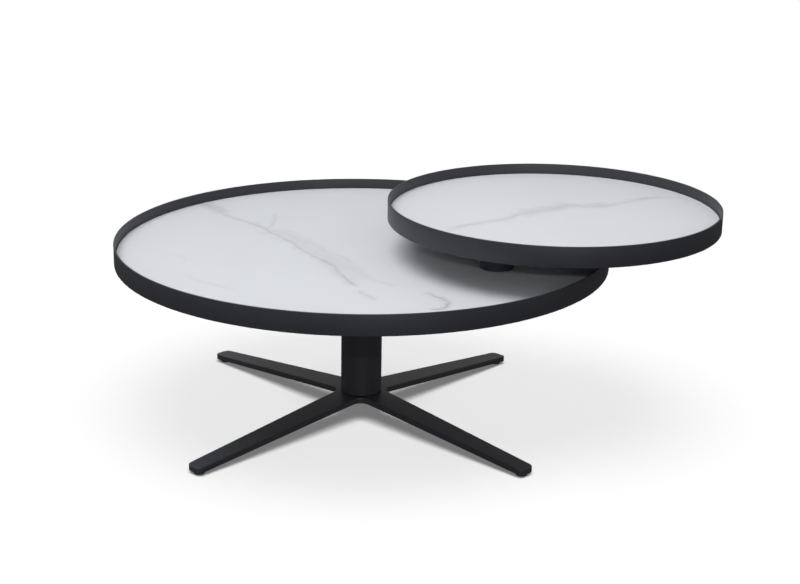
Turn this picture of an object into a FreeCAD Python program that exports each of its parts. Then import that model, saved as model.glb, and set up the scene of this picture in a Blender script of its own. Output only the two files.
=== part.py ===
import FreeCAD, Part
import os
import Sketcher

doc = FreeCAD.newDocument("swivel_coffee_table")

# Driving dimensions in millimetres and degrees. The floor is at height zero.
DRIVING = (
    ("large_diameter", "900", "outside of the large tray's rim"),
    ("small_diameter", "600", "outside of the small tray's rim"),
    ("top_height", "348", "floor to the top edge of the large rim"),
    ("tray_rise", "79", "top edge of the large rim to that of the small rim"),
    ("rim_height", "36.5", "flat bar that is rolled into each rim"),
    ("rim_wall", "3", "thickness of that bar"),
    ("rim_edge_round", "0.8", "rounding along the bar's edges"),
    ("lip_height", "19.5", "rim edge above the ceramic face"),
    ("ceramic_thickness", "6", "ceramic slabs"),
    ("ceramic_edge_bevel", "0.5", "bevel on the slabs' upper edge"),
    ("pan_thickness", "2", "sheet welded into the bottom of each rim"),
    ("seal_width", "1.6", "joint between slab and rim"),
    ("seal_depth", "1.5", "top of the joint strip below the ceramic face"),
    ("fit_gap", "0.1", "room between pieces that nest in one another"),
    ("pivot_radius", "268", "column axis to swivel axis"),
    ("pivot_azimuth", "-28.2", "direction of the swivel axis from the column"),
    ("tray_offset", "143", "swivel axis to the small tray's centre"),
    ("tray_swing", "69", "swing of the small tray from straight out"),
    ("hub_height", "49", "upper face of the star at the column"),
    ("hub_flat_radius", "42", "level part of the star round the column"),
    ("arm_reach", "408", "column axis to an arm's end"),
    ("arm_tip_height", "16.2", "upper face of an arm at its end"),
    ("arm_thickness", "11", "plate of the star"),
    ("arm_root_width", "58", "arm width taken to the column axis"),
    ("arm_tip_width", "33.5", "arm width at its end"),
    ("arm_corner_round", "10", "corners at an arm's end, seen from above"),
    ("arm_crotch_round", "18", "hollow between two arms, seen from above"),
    ("arm_edge_round", "1.5", "rounding along the arms' edges"),
    ("arm_azimuth", "45", "direction of the first arm"),
    ("glide_inset", "14", "arm's end to the middle of its glide"),
    ("glide_diameter", "20", "round glide under each arm"),
    ("glide_edge_round", "1.5", "rounding of the glide's foot"),
    ("glide_seat_depth", "0.5", "least depth of the flat seat under an arm"),
    ("glide_stem_diameter", "8", "stem that is pressed into the arm"),
    ("glide_stem_length", "5", "length of that stem"),
    ("column_diameter", "76", "round column"),
    ("column_wall", "3", "wall of the column tube"),
    ("foot_thickness", "14", "disc welded into the column's lower end"),
    ("foot_screw_circle", "44", "circle of the screws through the star"),
    ("plate_diameter", "260", "round part of the mounting plate"),
    ("plate_thickness", "6", "mounting plate under the large tray"),
    ("plate_bolt_inset", "20", "edge of the mounting plate to its bolts"),
    ("tongue_margin", "5", "edge of the plate's tongue beyond the spindle's flange"),
    ("tongue_round", "40", "hollow where the tongue leaves the plate"),
    ("web_thickness", "6", "upright web under the tongue and the gussets"),
    ("web_height", "56", "height of the web at the column"),
    ("web_end_height", "14", "height of the web at its outer end"),
    ("gusset_size", "46", "legs of the three small gussets"),
    ("flange_diameter", "110", "flange of the swivel spindle"),
    ("flange_thickness", "8", "thickness of that flange"),
    ("flange_bolt_inset", "15", "edge of the flange to its bolts"),
    ("boss_diameter", "46", "shoulder of the spindle"),
    ("boss_rise", "2", "shoulder above the ceramic face"),
    ("spindle_diameter", "30", "running diameter of the spindle"),
    ("running_gap", "0.05", "radial play of the bushes on the spindle"),
    ("axial_play", "0.3", "play under the retaining washer"),
    ("thrust_thickness", "2", "thrust washer on the spindle's shoulder"),
    ("bush_wall", "4", "wall of the bushes"),
    ("bush_length", "18", "length of a bush without its flange"),
    ("bush_flange_diameter", "46", "flange of the bushes"),
    ("bush_flange_thickness", "3", "thickness of that flange"),
    ("post_diameter", "60", "outside of the turning post"),
    ("post_gap", "1.2", "ceramic face to the lower end of the post"),
    ("post_relief", "2", "room round the bush flanges"),
    ("swivel_plate_diameter", "160", "plate welded on the turning post"),
    ("swivel_plate_thickness", "6", "thickness of that plate"),
    ("swivel_bolt_inset", "20", "edge of that plate to its bolts"),
    ("retainer_thickness", "3", "washer that keeps the tray on the spindle"),
    ("retainer_bolt_length", "25", "bolt that holds the retaining washer"),
    ("hole_clearance", "1", "bolt hole over the bolt's diameter"),
    ("pocket_clearance", "4", "room round nuts, flange and shoulder"),
    ("bolt_diameter", "8", "bolts of the column and the large tray"),
    ("bolt_head_width", "13", "across the flats of head and nut"),
    ("bolt_head_height", "5.3", "height of the head"),
    ("bolt_nut_height", "6.5", "height of the weld nut"),
    ("bolt_washer_diameter", "16", "plain washer"),
    ("bolt_washer_thickness", "1.6", "plain washer"),
    ("light_bolt_diameter", "6", "bolts of the small tray"),
    ("light_bolt_head_width", "10", "across the flats of head and nut"),
    ("light_bolt_head_height", "4", "height of the head"),
    ("light_bolt_nut_height", "5", "height of the weld nut"),
    ("light_bolt_washer_diameter", "12", "plain washer"),
    ("light_bolt_washer_thickness", "1.2", "plain washer"),
    ("retainer_bolt_diameter", "10", "bolt in the end of the spindle"),
    ("retainer_bolt_head_width", "17", "across the flats of its head"),
    ("retainer_bolt_head_height", "6.4", "height of its head"),
)

# Levels, radii and places that follow from the driving dimensions.
FOLLOWING = (
    ("large_radius", "Sizes.large_diameter / 2"),
    ("small_radius", "Sizes.small_diameter / 2"),
    ("tray_azimuth", "Sizes.pivot_azimuth + Sizes.tray_swing"),
    ("pivot_east", "Sizes.pivot_radius * cos(Sizes.pivot_azimuth * 1 deg)"),
    ("pivot_north", "Sizes.pivot_radius * sin(Sizes.pivot_azimuth * 1 deg)"),
    ("tray_east", "pivot_east + Sizes.tray_offset * cos(tray_azimuth * 1 deg)"),
    ("tray_north", "pivot_north + Sizes.tray_offset * sin(tray_azimuth * 1 deg)"),
    ("east_edge", "max(large_radius; tray_east + small_radius)"),
    ("west_edge", "min(-large_radius; tray_east - small_radius)"),
    ("north_edge", "max(large_radius; tray_north + small_radius)"),
    ("south_edge", "min(-large_radius; tray_north - small_radius)"),
    ("column_x", "-(east_edge + west_edge) / 2"),
    ("column_y", "-(north_edge + south_edge) / 2"),
    ("pivot_x", "column_x + pivot_east"),
    ("pivot_y", "column_y + pivot_north"),
    ("tray_x", "column_x + tray_east"),
    ("tray_y", "column_y + tray_north"),
    ("stack", "Sizes.rim_height - Sizes.lip_height"),
    ("board_thickness", "stack - Sizes.pan_thickness - Sizes.ceramic_thickness"),
    ("large_base", "Sizes.top_height - Sizes.rim_height"),
    ("large_face", "large_base + stack"),
    ("small_base", "large_base + Sizes.tray_rise"),
    ("pan_gap", "Sizes.rim_wall + Sizes.fit_gap"),
    ("slab_gap", "Sizes.rim_wall + Sizes.seal_width"),
    ("arm_drop", "Sizes.hub_height - Sizes.arm_tip_height"),
    ("arm_slope", "arm_drop / (Sizes.arm_reach - Sizes.hub_flat_radius)"),
    ("hub_under", "Sizes.hub_height - Sizes.arm_thickness"),
    ("tip_under", "Sizes.arm_tip_height - Sizes.arm_thickness"),
    ("glide_radius", "Sizes.arm_reach - Sizes.glide_inset"),
    ("seat_radius", "Sizes.glide_diameter / 2 + Sizes.fit_gap"),
    ("seat_inner_edge", "glide_radius - seat_radius"),
    ("glide_seat", "tip_under + arm_slope * (Sizes.arm_reach - seat_inner_edge) + Sizes.glide_seat_depth"),
    ("column_radius", "Sizes.column_diameter / 2"),
    ("plate_base", "large_base - Sizes.plate_thickness"),
    ("plate_bolt_circle", "Sizes.plate_diameter - 2 * Sizes.plate_bolt_inset"),
    ("flange_bolt_circle", "Sizes.flange_diameter - 2 * Sizes.flange_bolt_inset"),
    ("swivel_bolt_circle", "Sizes.swivel_plate_diameter - 2 * Sizes.swivel_bolt_inset"),
    ("tongue_side", "Sizes.flange_diameter / 2 + Sizes.tongue_margin"),
    ("tongue_end", "Sizes.pivot_radius + tongue_side"),
    ("pan_top", "large_base + Sizes.pan_thickness"),
    ("flange_top", "pan_top + Sizes.flange_thickness"),
    ("shoulder", "large_face + Sizes.boss_rise"),
    ("thrust_top", "shoulder + Sizes.thrust_thickness"),
    ("lower_seat", "thrust_top + Sizes.bush_flange_thickness"),
    ("post_base", "large_face + Sizes.post_gap"),
    ("post_top", "small_base - Sizes.swivel_plate_thickness"),
    ("upper_flange_top", "post_top + Sizes.bush_flange_thickness"),
    ("spindle_top", "upper_flange_top + Sizes.axial_play"),
    ("retainer_top", "spindle_top + Sizes.retainer_thickness"),
    ("spindle_radius", "Sizes.spindle_diameter / 2"),
    ("bush_bore_radius", "spindle_radius + Sizes.running_gap"),
    ("bush_radius", "bush_bore_radius + Sizes.bush_wall"),
    ("post_bore_radius", "bush_radius + Sizes.fit_gap"),
    ("relief_radius", "Sizes.bush_flange_diameter / 2 + Sizes.post_relief"),
    ("nut_pocket", "Sizes.bolt_head_width / cos(30 deg) + Sizes.pocket_clearance"),
    ("light_nut_pocket", "Sizes.light_bolt_head_width / cos(30 deg) + Sizes.pocket_clearance"),
    ("retainer_pocket", "2 * relief_radius"),
    ("flange_pocket", "Sizes.flange_diameter + Sizes.pocket_clearance"),
    ("boss_pocket", "Sizes.boss_diameter + Sizes.pocket_clearance"),
    ("screw_base", "hub_under - Sizes.bolt_washer_thickness"),
    ("plate_screw_base", "plate_base - Sizes.bolt_washer_thickness"),
    ("swivel_screw_base", "post_top - Sizes.light_bolt_washer_thickness"),
)

sizes = doc.addObject("Spreadsheet::Sheet", "Sizes")
for row, (alias, number_text, note) in enumerate(DRIVING, start=1):
    sizes.set(f"A{row}", note)
    sizes.set(f"B{row}", number_text)
    sizes.setAlias(f"B{row}", alias)
levels = doc.addObject("Spreadsheet::Sheet", "Levels")
for row, (alias, formula) in enumerate(FOLLOWING, start=1):
    levels.set(f"A{row}", alias.replace("_", " "))
    levels.set(f"B{row}", "=" + formula)
    levels.setAlias(f"B{row}", alias)
doc.recompute()

# Where a piece stands and which way its own X axis points, as seen from above.
STAR = ("Levels.column_x", "Levels.column_y", "Sizes.arm_azimuth")
COLUMN = ("Levels.column_x", "Levels.column_y", "Sizes.pivot_azimuth")
ANCHOR = ("Levels.pivot_x", "Levels.pivot_y", "Sizes.pivot_azimuth")
SWIVEL = ("Levels.pivot_x", "Levels.pivot_y", "Levels.tray_azimuth")
SMALL_TRAY = ("Levels.tray_x", "Levels.tray_y", "Levels.tray_azimuth")
CENTRE = ("0", "0")
FULL_TURN = 360
ARM_COUNT = 4
PAN_BOLT_COUNT = 6
PAN_BOLT_ANGLE = 30
FLANGE_BOLT_COUNT = 4
FLANGE_BOLT_ANGLE = 45
HEXAGON_CORNER_COUNT = 6
START_POINT, END_POINT, CENTRE_POINT = range(1, 4)
SAME_PLACE = 0.001


def number(expression):
    return float(sizes.evalExpression(expression))


def new_body(label, stand):
    x, y, turn = stand
    body = doc.addObject("PartDesign::Body", label)
    body.Label = label
    body.setExpression("Placement", f"placement(vector({x}; {y}; 0); rotation(vector(0; 0; 1); {turn}))")
    return body


def new_sketch(body, role, offset="0"):
    sketch = body.newObject("Sketcher::SketchObject", body.Name + "_sketch")
    plane = [feature for feature in body.Origin.OriginFeatures if feature.Role == role][0]
    sketch.AttachmentSupport = [(plane, "")]
    sketch.MapMode = "FlatFace"
    sketch.setExpression("AttachmentOffset.Base.z", offset)
    return sketch


def tie(sketch, constraint, expression):
    index = sketch.addConstraint(constraint)
    sketch.setExpression(f"Constraints[{index}]", expression)


def tie_point(sketch, geometry, point, place):
    for kind, expression in zip(("DistanceX", "DistanceY"), place):
        tie(sketch, Sketcher.Constraint(kind, geometry, point, number(expression)), expression)


def draw_outline(sketch, corners):
    first = sketch.GeometryCount
    count = len(corners)
    points = [FreeCAD.Vector(number(x), number(y), 0) for x, y in corners]
    for i in range(count):
        sketch.addGeometry(Part.LineSegment(points[i], points[(i + 1) % count]))
    for i in range(count):
        following = first + (i + 1) % count
        sketch.addConstraint(Sketcher.Constraint("Coincident", first + i, END_POINT, following, START_POINT))
        tie_point(sketch, first + i, START_POINT, corners[i])


def draw_circle(sketch, place, diameter):
    middle = FreeCAD.Vector(number(place[0]), number(place[1]), 0)
    circle = Part.Circle(middle, FreeCAD.Vector(0, 0, 1), number(diameter) / 2)
    geometry = sketch.addGeometry(circle)
    tie_point(sketch, geometry, CENTRE_POINT, place)
    tie(sketch, Sketcher.Constraint("Diameter", geometry, number(diameter)), diameter)


def draw_hexagon(sketch, place, width):
    x, y = place
    reach = f"({width}) / 2 / cos(30 deg)"
    angles = [f"{FULL_TURN * k / HEXAGON_CORNER_COUNT} deg" for k in range(HEXAGON_CORNER_COUNT)]
    corners = [(f"{x} + {reach} * cos({angle})", f"{y} + {reach} * sin({angle})") for angle in angles]
    draw_outline(sketch, corners)


def ring(circle, count, start=0, middle="0"):
    angles = [f"{start + FULL_TURN * k / count} deg" for k in range(count)]
    return [(f"{middle} + {circle} / 2 * cos({angle})", f"{circle} / 2 * sin({angle})") for angle in angles]


def turned(body, corners):
    sketch = new_sketch(body, "XZ_Plane")
    draw_outline(sketch, corners)
    feature = body.newObject("PartDesign::Revolution", body.Name + "_turned")
    feature.Profile = sketch
    feature.ReferenceAxis = (sketch, ["V_Axis"])
    feature.Angle = FULL_TURN
    return feature


def turned_ring(body, inner, outer, base, top):
    return turned(body, [(inner, base), (outer, base), (outer, top), (inner, top)])


def grooved(body, corners):
    sketch = new_sketch(body, "XZ_Plane")
    draw_outline(sketch, corners)
    feature = body.newObject("PartDesign::Groove", body.Name + "_groove")
    feature.Profile = sketch
    feature.ReferenceAxis = (sketch, ["V_Axis"])
    feature.Angle = FULL_TURN
    return feature


def padded(body, sketch, length):
    feature = body.newObject("PartDesign::Pad", body.Name + "_pad")
    feature.Profile = sketch
    feature.setExpression("Length", length)
    return feature


def drilled(body, places, diameter, base, depth=None):
    sketch = new_sketch(body, "XY_Plane", base)
    for place in places:
        draw_circle(sketch, place, diameter)
    feature = body.newObject("PartDesign::Pocket", body.Name + "_holes")
    feature.Profile = sketch
    feature.Reversed = True
    if depth is None:
        feature.Type = "ThroughAll"
    else:
        feature.Type = "Length"
        feature.setExpression("Length", depth)
    return feature


def rounded(body, feature, wanted, radius):
    doc.recompute()
    names = [f"Edge{i}" for i, edge in enumerate(feature.Shape.Edges, start=1) if wanted(edge)]
    fillet = body.newObject("PartDesign::Fillet", body.Name + "_round")
    fillet.Base = (feature, names)
    fillet.setExpression("Radius", radius)
    return fillet


def from_axis(edge):
    middle = edge.CenterOfMass
    return (middle.x ** 2 + middle.y ** 2) ** 0.5


def is_upright(edge):
    start = edge.firstVertex().Point
    end = edge.lastVertex().Point
    return abs(start.x - end.x) + abs(start.y - end.y) < SAME_PLACE < abs(start.z - end.z)


def is_round_the_axis(edge):
    curve = edge.Curve
    return isinstance(curve, Part.Circle) and abs(curve.Center.x) + abs(curve.Center.y) < SAME_PLACE


def bolts(label, stand, places, kind, head_base, shank_length):
    body = new_body(label, stand)
    heads = new_sketch(body, "XY_Plane", f"{head_base} - Sizes.{kind}_head_height")
    for place in places:
        draw_hexagon(heads, place, f"Sizes.{kind}_head_width")
    padded(body, heads, f"Sizes.{kind}_head_height")
    shanks = new_sketch(body, "XY_Plane", head_base)
    for place in places:
        draw_circle(shanks, place, f"Sizes.{kind}_diameter")
    padded(body, shanks, shank_length)
    return body


def washers(label, stand, places, kind, base):
    body = new_body(label, stand)
    sketch = new_sketch(body, "XY_Plane", base)
    for place in places:
        draw_circle(sketch, place, f"Sizes.{kind}_washer_diameter")
        draw_circle(sketch, place, f"Sizes.{kind}_diameter + 2 * Sizes.fit_gap")
    padded(body, sketch, f"Sizes.{kind}_washer_thickness")
    return body


def weld_nuts(label, stand, places, kind, base):
    body = new_body(label, stand)
    sketch = new_sketch(body, "XY_Plane", base)
    for place in places:
        draw_hexagon(sketch, place, f"Sizes.{kind}_head_width")
        draw_circle(sketch, place, f"Sizes.{kind}_diameter + 2 * Sizes.fit_gap")
    padded(body, sketch, f"Sizes.{kind}_nut_height")
    return body


# Star base: one plate, cut to four tapering arms with a hollow between each two and bent down to the floor.
# It stays level round the column, and each arm end has a flat seat and a blind hole for its glide.
star_base = new_body("star_base", STAR)
arm_sketch = new_sketch(star_base, "XY_Plane")
draw_outline(arm_sketch, [
    ("0", "-Sizes.arm_root_width / 2"),
    ("Sizes.arm_reach", "-Sizes.arm_tip_width / 2"),
    ("Sizes.arm_reach", "Sizes.arm_tip_width / 2"),
    ("0", "Sizes.arm_root_width / 2"),
])
arm = padded(star_base, arm_sketch, "Sizes.hub_height")
arms = star_base.newObject("PartDesign::PolarPattern", "star_base_arms")
arms.Originals = [arm]
arms.Axis = (arm_sketch, ["N_Axis"])
arms.Angle = FULL_TURN
arms.Occurrences = ARM_COUNT
star_base.Tip = arms
arm_reach = number("Sizes.arm_reach")
crotches = rounded(star_base, arms, lambda edge: is_upright(edge) and from_axis(edge) < arm_reach / 2,
                   "Sizes.arm_crotch_round")
rounded(star_base, crotches, lambda edge: is_upright(edge) and from_axis(edge) > arm_reach,
        "Sizes.arm_corner_round")
beyond_arms = "Sizes.arm_reach + Sizes.arm_tip_width"
beyond_tip = "Sizes.arm_tip_height - Levels.arm_slope * Sizes.arm_tip_width"
grooved(star_base, [
    ("Sizes.hub_flat_radius", "Sizes.hub_height"),
    (beyond_arms, beyond_tip),
    (beyond_arms, "Sizes.hub_height + Sizes.arm_thickness"),
    ("Sizes.hub_flat_radius", "Sizes.hub_height + Sizes.arm_thickness"),
])
slopes = grooved(star_base, [
    ("0", "-Sizes.arm_thickness"),
    (beyond_arms, "-Sizes.arm_thickness"),
    (beyond_arms, f"{beyond_tip} - Sizes.arm_thickness"),
    ("Sizes.hub_flat_radius", "Levels.hub_under"),
    ("0", "Levels.hub_under"),
])
rounded(star_base, slopes, lambda edge: not is_upright(edge) and not is_round_the_axis(edge),
        "Sizes.arm_edge_round")
foot_places = ring("Sizes.foot_screw_circle", ARM_COUNT)
glide_places = ring("2 * Levels.glide_radius", ARM_COUNT)
drilled(star_base, foot_places, "Sizes.bolt_diameter + Sizes.hole_clearance", "0")
drilled(star_base, glide_places, "2 * Levels.seat_radius", "0", "Levels.glide_seat")
drilled(star_base, glide_places, "Sizes.glide_stem_diameter + 2 * Sizes.fit_gap", "0",
        "Levels.glide_seat + Sizes.glide_stem_length + Sizes.fit_gap")

# Glides: turned plastic feet, each with a stem pressed into its arm.
GLIDES = ("back_right", "back_left", "front_left", "front_right")
for glide_place, glide_name in enumerate(GLIDES):
    glide_turn = f"Sizes.arm_azimuth + {FULL_TURN * glide_place / ARM_COUNT}"
    glide = new_body("glide_" + glide_name, (
        f"Levels.column_x + Levels.glide_radius * cos(({glide_turn}) * 1 deg)",
        f"Levels.column_y + Levels.glide_radius * sin(({glide_turn}) * 1 deg)",
        glide_turn))
    turned(glide, [
        ("0", "0"),
        ("Sizes.glide_diameter / 2 - Sizes.glide_edge_round", "0"),
        ("Sizes.glide_diameter / 2", "Sizes.glide_edge_round"),
        ("Sizes.glide_diameter / 2", "Levels.glide_seat"),
        ("Sizes.glide_stem_diameter / 2", "Levels.glide_seat"),
        ("Sizes.glide_stem_diameter / 2", "Levels.glide_seat + Sizes.glide_stem_length"),
        ("0", "Levels.glide_seat + Sizes.glide_stem_length"),
    ])

# Column: a tube with a tapped disc welded into its lower end, screwed to the star from below.
column_tube = new_body("column_tube", COLUMN)
turned_ring(column_tube, "Levels.column_radius - Sizes.column_wall", "Levels.column_radius",
            "Sizes.hub_height", "Levels.plate_base")
column_foot = new_body("column_foot", STAR)
turned_ring(column_foot, "0", "Levels.column_radius - Sizes.column_wall - Sizes.fit_gap",
            "Sizes.hub_height", "Sizes.hub_height + Sizes.foot_thickness")
drilled(column_foot, foot_places, "Sizes.bolt_diameter + 2 * Sizes.fit_gap", "Sizes.hub_height")
washers("foot_washers", STAR, foot_places, "bolt", "Levels.screw_base")
bolts("foot_screws", STAR, foot_places, "bolt", "Levels.screw_base",
      "Sizes.bolt_washer_thickness + Sizes.arm_thickness + Sizes.foot_thickness")

# Mounting plate: flame-cut plate on the column, with a tongue that reaches under the swivel.
mounting_plate = new_body("mounting_plate", COLUMN)
disc_sketch = new_sketch(mounting_plate, "XY_Plane", "Levels.plate_base")
draw_circle(disc_sketch, CENTRE, "Sizes.plate_diameter")
padded(mounting_plate, disc_sketch, "Sizes.plate_thickness")
tongue_sketch = new_sketch(mounting_plate, "XY_Plane", "Levels.plate_base")
draw_outline(tongue_sketch, [
    ("0", "-Levels.tongue_side"),
    ("Levels.tongue_end", "-Levels.tongue_side"),
    ("Levels.tongue_end", "Levels.tongue_side"),
    ("0", "Levels.tongue_side"),
])
tongue = padded(mounting_plate, tongue_sketch, "Sizes.plate_thickness")
tongue_side = number("Levels.tongue_side")
plate_edge = number("Sizes.plate_diameter / 2") + SAME_PLACE
tongue_end = number("Levels.tongue_end")


def is_on_tongue_side(edge):
    return is_upright(edge) and abs(abs(edge.CenterOfMass.y) - tongue_side) < SAME_PLACE


def is_at_tongue_end(edge):
    return is_upright(edge) and abs(edge.CenterOfMass.x - tongue_end) < SAME_PLACE


ends = rounded(mounting_plate, tongue, is_at_tongue_end, "Levels.tongue_side - Sizes.fit_gap")
rounded(mounting_plate, ends, lambda edge: is_on_tongue_side(edge) and from_axis(edge) < plate_edge,
        "Sizes.tongue_round")
plate_places = ring("Levels.plate_bolt_circle", PAN_BOLT_COUNT, PAN_BOLT_ANGLE)
flange_places = ring("Levels.flange_bolt_circle", FLANGE_BOLT_COUNT, FLANGE_BOLT_ANGLE)
flange_places_on_plate = ring("Levels.flange_bolt_circle", FLANGE_BOLT_COUNT, FLANGE_BOLT_ANGLE,
                              "Sizes.pivot_radius")
drilled(mounting_plate, plate_places + flange_places_on_plate,
        "Sizes.bolt_diameter + Sizes.hole_clearance", "Levels.plate_base")

# Web and gussets: upright plates welded to the column and to the underside of the mounting plate.
web_start = "Levels.column_radius + 2 * Sizes.fit_gap"
web_end = "Sizes.pivot_radius - Sizes.flange_diameter / 2"
tongue_web = new_body("tongue_web", COLUMN)
web_sketch = new_sketch(tongue_web, "XZ_Plane")
draw_outline(web_sketch, [
    (web_start, "Levels.plate_base"),
    (web_start, "Levels.plate_base - Sizes.web_height"),
    (web_end, "Levels.plate_base - Sizes.web_end_height"),
    (web_end, "Levels.plate_base"),
])
padded(tongue_web, web_sketch, "Sizes.web_thickness").Midplane = True
column_gussets = new_body("column_gussets", COLUMN)
gusset_sketch = new_sketch(column_gussets, "XZ_Plane")
draw_outline(gusset_sketch, [
    (f"-({web_start})", "Levels.plate_base"),
    (f"-({web_start})", "Levels.plate_base - Sizes.gusset_size"),
    (f"-({web_start}) - Sizes.gusset_size", "Levels.plate_base"),
])
padded(column_gussets, gusset_sketch, "Sizes.web_thickness").Midplane = True
for sign in ("", "-"):
    side_sketch = new_sketch(column_gussets, "YZ_Plane")
    draw_outline(side_sketch, [
        (f"{sign}({web_start})", "Levels.plate_base"),
        (f"{sign}({web_start})", "Levels.plate_base - Sizes.gusset_size"),
        (f"{sign}({web_start} + Sizes.gusset_size)", "Levels.plate_base"),
    ])
    padded(column_gussets, side_sketch, "Sizes.web_thickness").Midplane = True


def tray(size, stand, radius, base, nut_places, nut_pocket, bolt_hole, swivel_middle, swivel_holes,
         board_opening, slab_opening):
    """A welded pan with a board and a ceramic slab laid in it, and a strip that closes the joint."""
    pan_top = f"{base} + Sizes.pan_thickness"
    board_top = f"{pan_top} + Levels.board_thickness"
    slab_top = f"{board_top} + Sizes.ceramic_thickness"
    slab_radius = f"{radius} - Levels.slab_gap"

    rim = new_body(size + "_rim", stand)
    band = turned_ring(rim, f"{radius} - Sizes.rim_wall", radius, base, f"{base} + Sizes.rim_height")
    rounded(rim, band, is_round_the_axis, "Sizes.rim_edge_round")

    pan = new_body(size + "_pan", stand)
    turned_ring(pan, "0", f"{radius} - Levels.pan_gap", base, pan_top)
    drilled(pan, nut_places, bolt_hole, base)
    for places, diameter in swivel_holes:
        drilled(pan, places, diameter, base)

    board = new_body(size + "_core_board", stand)
    turned_ring(board, "0", slab_radius, pan_top, board_top)
    drilled(board, nut_places, nut_pocket, pan_top)
    drilled(board, [swivel_middle], board_opening, pan_top)

    slab = new_body(size + "_ceramic_top", stand)
    turned(slab, [
        ("0", board_top),
        (slab_radius, board_top),
        (slab_radius, f"{slab_top} - Sizes.ceramic_edge_bevel"),
        (f"{slab_radius} - Sizes.ceramic_edge_bevel", slab_top),
        ("0", slab_top),
    ])
    if slab_opening:
        drilled(slab, [swivel_middle], slab_opening, board_top)

    strip = new_body(size + "_joint_strip", stand)
    turned_ring(strip, f"{slab_radius} + Sizes.fit_gap", f"{radius} - Levels.pan_gap", pan_top,
                f"{slab_top} - Sizes.seal_depth")


# Large tray: bolted down on the mounting plate, with weld nuts in the pan. The spindle's flange lies in
# an opening of the board, and only its shoulder comes up through the ceramic.
bolt_hole = "Sizes.bolt_diameter + Sizes.hole_clearance"
tray("large", COLUMN, "Levels.large_radius", "Levels.large_base", plate_places,
     "Levels.nut_pocket", bolt_hole, ("Sizes.pivot_radius", "0"), [(flange_places_on_plate, bolt_hole)],
     "Levels.flange_pocket", "Levels.boss_pocket")
washers("pan_washers", COLUMN, plate_places, "bolt", "Levels.plate_screw_base")
bolts("pan_bolts", COLUMN, plate_places, "bolt", "Levels.plate_screw_base",
      "Sizes.bolt_washer_thickness + Sizes.plate_thickness + Sizes.pan_thickness + Sizes.bolt_nut_height")
weld_nuts("pan_weld_nuts", COLUMN, plate_places, "bolt", "Levels.pan_top")

# Spindle: turned in one piece with its flange and shoulder, tapped in its upper end for the retaining bolt.
spindle = new_body("spindle", ANCHOR)
turned(spindle, [
    ("0", "Levels.pan_top"),
    ("Sizes.flange_diameter / 2", "Levels.pan_top"),
    ("Sizes.flange_diameter / 2", "Levels.flange_top"),
    ("Sizes.boss_diameter / 2", "Levels.flange_top"),
    ("Sizes.boss_diameter / 2", "Levels.shoulder"),
    ("Levels.spindle_radius", "Levels.shoulder"),
    ("Levels.spindle_radius", "Levels.spindle_top"),
    ("0", "Levels.spindle_top"),
])
drilled(spindle, flange_places, "Sizes.bolt_diameter + 2 * Sizes.fit_gap", "Levels.pan_top",
        "Sizes.flange_thickness")
drilled(spindle, [CENTRE], "Sizes.retainer_bolt_diameter + 2 * Sizes.fit_gap",
        "Levels.spindle_top - Sizes.retainer_bolt_length - Sizes.retainer_thickness",
        "Sizes.retainer_bolt_length + Sizes.retainer_thickness")
washers("flange_washers", ANCHOR, flange_places, "bolt", "Levels.plate_screw_base")
bolts("flange_bolts", ANCHOR, flange_places, "bolt", "Levels.plate_screw_base",
      "Sizes.bolt_washer_thickness + Sizes.plate_thickness + Sizes.pan_thickness + Sizes.flange_thickness")
thrust_washer = new_body("thrust_washer", ANCHOR)
turned_ring(thrust_washer, "Levels.bush_bore_radius", "Sizes.boss_diameter / 2", "Levels.shoulder",
            "Levels.thrust_top")
retaining_washer = new_body("retaining_washer", ANCHOR)
turned_ring(retaining_washer, "Sizes.retainer_bolt_diameter / 2 + Sizes.fit_gap",
            "Sizes.bush_flange_diameter / 2", "Levels.spindle_top", "Levels.retainer_top")
retaining_bolt = new_body("retaining_bolt", ANCHOR)
shank_sketch = new_sketch(retaining_bolt, "XY_Plane", "Levels.retainer_top - Sizes.retainer_bolt_length")
draw_circle(shank_sketch, CENTRE, "Sizes.retainer_bolt_diameter")
padded(retaining_bolt, shank_sketch, "Sizes.retainer_bolt_length")
head_sketch = new_sketch(retaining_bolt, "XY_Plane", "Levels.retainer_top")
draw_hexagon(head_sketch, CENTRE, "Sizes.retainer_bolt_head_width")
padded(retaining_bolt, head_sketch, "Sizes.retainer_bolt_head_height")

# Turning post: a thick tube that hides the shoulder and the bearings, with a flanged bush in each end.
turning_post = new_body("turning_post", SWIVEL)
turned(turning_post, [
    ("Levels.relief_radius", "Levels.post_base"),
    ("Sizes.post_diameter / 2", "Levels.post_base"),
    ("Sizes.post_diameter / 2", "Levels.post_top"),
    ("Levels.post_bore_radius", "Levels.post_top"),
    ("Levels.post_bore_radius", "Levels.lower_seat"),
    ("Levels.relief_radius", "Levels.lower_seat"),
])
lower_bush = new_body("lower_bush", SWIVEL)
turned(lower_bush, [
    ("Levels.bush_bore_radius", "Levels.thrust_top"),
    ("Sizes.bush_flange_diameter / 2", "Levels.thrust_top"),
    ("Sizes.bush_flange_diameter / 2", "Levels.lower_seat"),
    ("Levels.bush_radius", "Levels.lower_seat"),
    ("Levels.bush_radius", "Levels.lower_seat + Sizes.bush_length"),
    ("Levels.bush_bore_radius", "Levels.lower_seat + Sizes.bush_length"),
])
upper_bush = new_body("upper_bush", SWIVEL)
turned(upper_bush, [
    ("Levels.bush_bore_radius", "Levels.post_top - Sizes.bush_length"),
    ("Levels.bush_radius", "Levels.post_top - Sizes.bush_length"),
    ("Levels.bush_radius", "Levels.post_top"),
    ("Sizes.bush_flange_diameter / 2", "Levels.post_top"),
    ("Sizes.bush_flange_diameter / 2", "Levels.upper_flange_top"),
    ("Levels.bush_bore_radius", "Levels.upper_flange_top"),
])

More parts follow.
